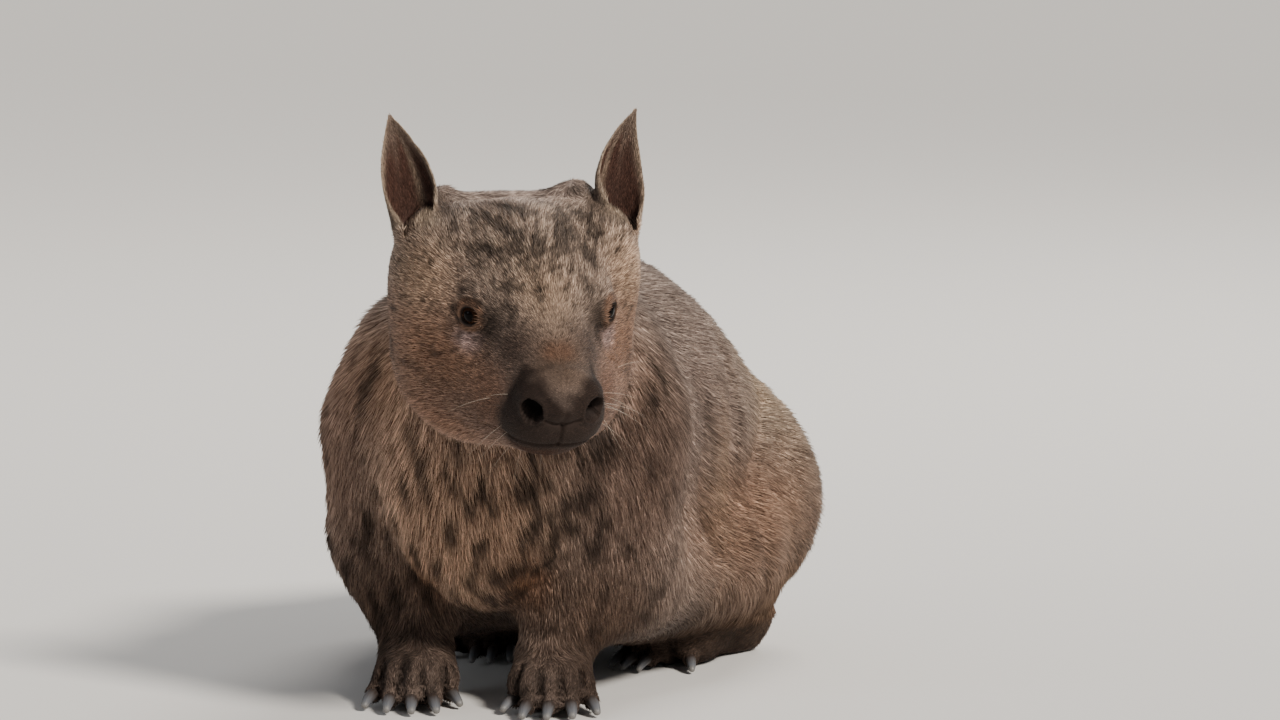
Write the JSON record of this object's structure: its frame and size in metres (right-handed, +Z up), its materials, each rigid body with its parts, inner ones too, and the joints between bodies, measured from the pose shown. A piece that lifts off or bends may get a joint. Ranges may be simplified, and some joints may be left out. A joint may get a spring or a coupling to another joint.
{
  "type": "southern hairy-nosed wombat",
  "caption": "Life-size still model of a stocky short-furred burrowing marsupial sitting on its haunches, head turned, with pointed ears, broad muzzle and clawed feet.",
  "frame": {"origin": "on the floor, under the middle of the part's box", "axes": "the trunk points along -Y, the animal's left side is +X, up is +Z; the head is turned towards +X"},
  "size_m": [0.3062, 0.66, 0.423],
  "materials": {
    "back_fur": "short coarse coat, lilac grey and buff brindled with dark brown",
    "neck_fur": "short coarse coat, tan and buff with dark streaks",
    "head_fur": "short dense coat, brindled buff and dark brown, dark muzzle",
    "ear_fur": "thin skin with sparse short hair, paler on the rims",
    "leg_fur": "short coarse coat, dark grey brown",
    "haunch_fur": "short coarse coat, brown and rufous, darker below",
    "foot_fur": "short dense hair, blackish brown",
    "eye": "dark brown, wet and glossy",
    "claw": "worn grey horn"
  },
  "bodies": {
    "root": {"ear_left": "ear_fur", "ear_right": "ear_fur", "eye_left": "eye", "eye_right": "eye", "fore_claw_left_1": "claw", "fore_claw_left_2": "claw", "fore_claw_left_3": "claw", "fore_claw_left_4": "claw", "fore_claw_left_5": "claw", "fore_claw_right_1": "claw", "fore_claw_right_2": "claw", "fore_claw_right_3": "claw", "fore_claw_right_4": "claw", "fore_claw_right_5": "claw", "forefoot_left": "foot_fur", "forefoot_right": "foot_fur", "foreleg_left": "leg_fur", "foreleg_right": "leg_fur", "head": "head_fur", "hind_claw_left_1": "claw", "hind_claw_left_2": "claw", "hind_claw_left_3": "claw", "hind_claw_left_4": "claw", "hind_claw_right_1": "claw", "hind_claw_right_2": "claw", "hind_claw_right_3": "claw", "hind_claw_right_4": "claw", "hindfoot_left": "foot_fur", "hindfoot_right": "foot_fur", "hindleg_left": "haunch_fur", "hindleg_right": "haunch_fur", "neck": "neck_fur", "tail": "back_fur", "torso": "back_fur"}
  },
  "joints": []
}
